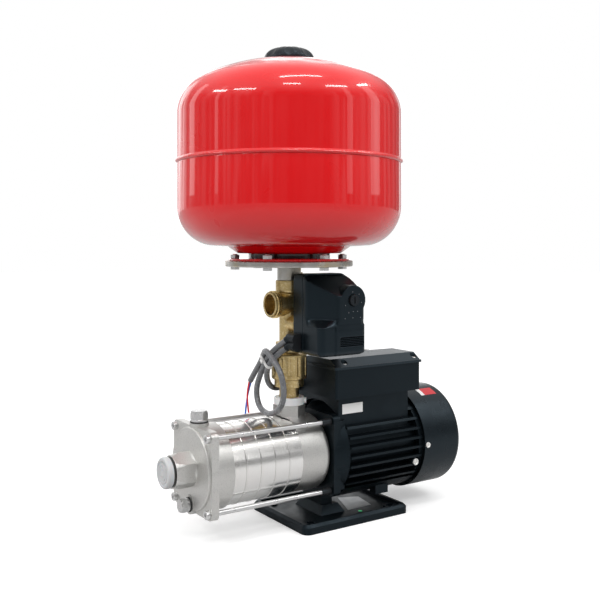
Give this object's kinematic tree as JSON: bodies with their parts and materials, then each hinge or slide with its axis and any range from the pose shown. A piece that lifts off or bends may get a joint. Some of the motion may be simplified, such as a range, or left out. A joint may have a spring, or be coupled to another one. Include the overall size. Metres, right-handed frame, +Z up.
{
  "type": "booster pump with pressure tank",
  "caption": "Horizontal multistage water pump with a finned motor, a brass outlet column, a pressure controller and a red diaphragm tank carried above the outlet.",
  "frame": {"origin": "centre of the base plate's four anchor holes, on the underside of the plate", "axes": "+X along the shaft from the inlet to the motor's fan, +Y away from the controller, +Z up to the tank"},
  "size_m": [0.3935, 0.2762, 0.5769],
  "materials": {
    "black_paint": "satin",
    "black_gloss": "gloss",
    "box_plastic": "satin",
    "control_plastic": "satin",
    "cast_steel": "bead blasted",
    "polished_steel": "polished",
    "bolt_steel": "bright zinc",
    "shaft_steel": "ground",
    "dark_sleeve": "satin",
    "iron_laminations": "varnished",
    "copper_winding": "enamelled wire",
    "brass": "satin",
    "white_nylon": "satin",
    "grey_nylon": "satin",
    "black_nylon": "satin",
    "clear_nylon": "satin",
    "black_rubber": "matte",
    "ceramic": "lapped",
    "zinc_plate": "galvanised",
    "red_gloss": "gloss",
    "cable_grey": "matte",
    "wire_blue": "satin",
    "wire_red": "satin",
    "terminal_cream": "satin",
    "capacitor_case": "satin"
  },
  "bodies": {
    "pump": {"base_plate": "black_paint", "foot_screws": "bolt_steel", "motor_bracket": "black_paint", "motor_housing": "black_paint", "rear_end_shield": "black_paint", "fan_cover": "black_gloss", "fan_cover_screws": "bolt_steel", "earth_screw": "bolt_steel", "shaft_bearings": "shaft_steel", "stator_core": "iron_laminations", "stator_windings": "copper_winding", "seal_seat": "ceramic", "terminal_box": "box_plastic", "terminal_box_lid": "box_plastic", "lid_screws": "bolt_steel", "capacitor": "capacitor_case", "terminal_block": "terminal_cream", "lead_gland": "black_nylon", "outlet_casing": "cast_steel", "stage_chambers": "polished_steel", "front_cover": "cast_steel", "tie_bolts": "bolt_steel", "tie_bolt_sleeves": "dark_sleeve", "outlet_collar": "white_nylon", "check_valve_body": "brass", "check_valve_spring": "shaft_steel", "brass_manifold": "brass", "gauge_plug": "brass", "tank_nipple": "zinc_plate", "counterflange": "zinc_plate", "flange_bolts": "bolt_steel", "tank_lower_shell": "red_gloss", "tank_upper_shell": "red_gloss", "tank_bladder": "black_rubber", "air_valve": "brass", "controller_back": "control_plastic", "controller_cover": "control_plastic", "micro_switch": "box_plastic", "cable_gland": "black_nylon", "supply_cable": "cable_grey", "motor_lead": "cable_grey", "blue_wire": "wire_blue", "red_wire": "wire_red", "cable_tie": "clear_nylon"},
    "rotor": {"pump_shaft": "shaft_steel", "rotor_core": "iron_laminations", "cooling_fan": "black_nylon", "impellers": "polished_steel", "seal_ring": "ceramic"},
    "poppet": {"check_valve_poppet": "black_nylon"},
    "diaphragm": {"control_diaphragm": "black_rubber"},
    "dial": {"pressure_dial": "black_nylon"},
    "inlet_cap": {"inlet_cap": "grey_nylon", "inlet_cap_seal": "black_rubber"},
    "priming_plug": {"priming_plug": "bolt_steel", "priming_washer": "black_rubber"},
    "drain_plug": {"drain_plug": "bolt_steel", "drain_washer": "black_rubber"},
    "air_cap": {"air_valve_cap": "black_nylon"}
  },
  "joints": [
    {"name": "rotor_spin", "type": "hinge", "parent": "pump", "child": "rotor", "pos_m": [0, 0, 0.0815], "axis": [1, 0, 0], "continuous": true},
    {"name": "poppet_lift", "type": "slide", "parent": "pump", "child": "poppet", "axis": [0, 0, 1], "range_m": [0, 0.006], "stiffness_N_per_m": 200, "deforming": ["check_valve_spring"]},
    {"name": "diaphragm_push", "type": "slide", "parent": "pump", "child": "diaphragm", "axis": [0, -1, 0], "range_m": [0, 0.001], "stiffness_N_per_m": 2000},
    {"name": "dial_turn", "type": "hinge", "parent": "pump", "child": "dial", "pos_m": [-0.0227, -0.08, 0.2705], "axis": [0, -1, 0], "range_deg": [-135, 135]},
    {"name": "inlet_cap_pull", "type": "slide", "parent": "pump", "child": "inlet_cap", "axis": [-1, 0, 0], "range_m": [0, 0.03]},
    {"name": "priming_plug_lift", "type": "slide", "parent": "pump", "child": "priming_plug", "axis": [0, 0, 1], "range_m": [0, 0.02]},
    {"name": "drain_plug_pull", "type": "slide", "parent": "pump", "child": "drain_plug", "axis": [-1, 0, 0], "range_m": [0, 0.02]},
    {"name": "air_cap_lift", "type": "slide", "parent": "pump", "child": "air_cap", "axis": [0, 0, 1], "range_m": [0, 0.03]}
  ]
}
